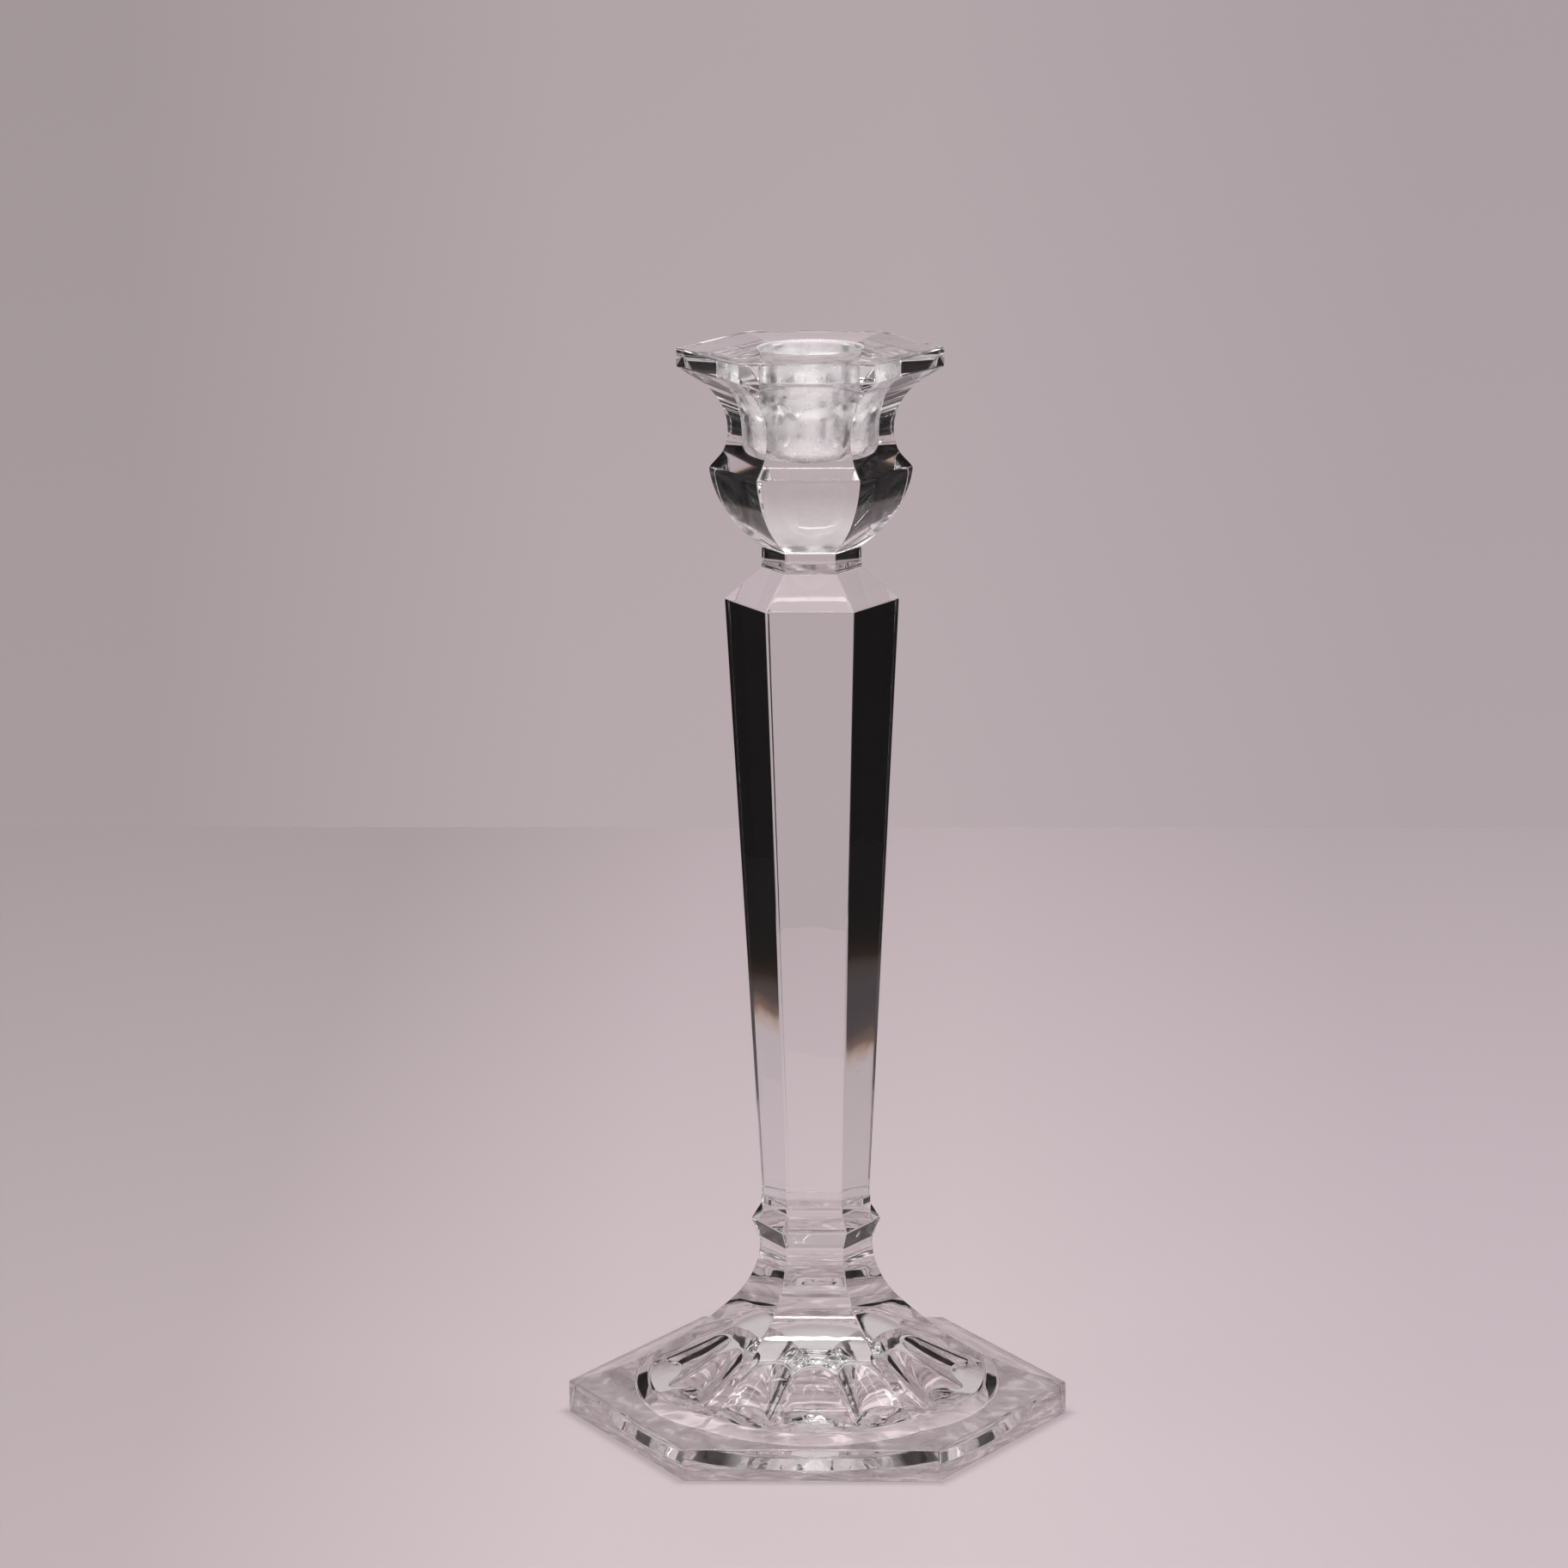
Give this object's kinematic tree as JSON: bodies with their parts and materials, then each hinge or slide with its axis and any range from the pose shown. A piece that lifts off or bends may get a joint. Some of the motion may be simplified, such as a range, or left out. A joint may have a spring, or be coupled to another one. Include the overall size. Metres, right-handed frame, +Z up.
{
  "type": "candlestick",
  "caption": "Clear glass candlestick with a flared hexagonal foot, tapered hexagonal column and faceted candle cup with a hexagonal rim.",
  "frame": {"origin": "middle of the foot's underside, on the surface the candlestick stands on", "axes": "+Z up along the column and the candle socket; corners of every hexagon lie on the X axis and one flat faces -Y"},
  "size_m": [0.1174, 0.1018, 0.254],
  "materials": {
    "clear_glass": "polished clear crystal glass",
    "clear_adhesive": "cured clear glass adhesive"
  },
  "bodies": {
    "root": {"foot": "clear_glass", "foot_bond": "clear_adhesive", "column": "clear_glass", "cup_bond": "clear_adhesive", "candle_cup": "clear_glass"}
  },
  "joints": []
}
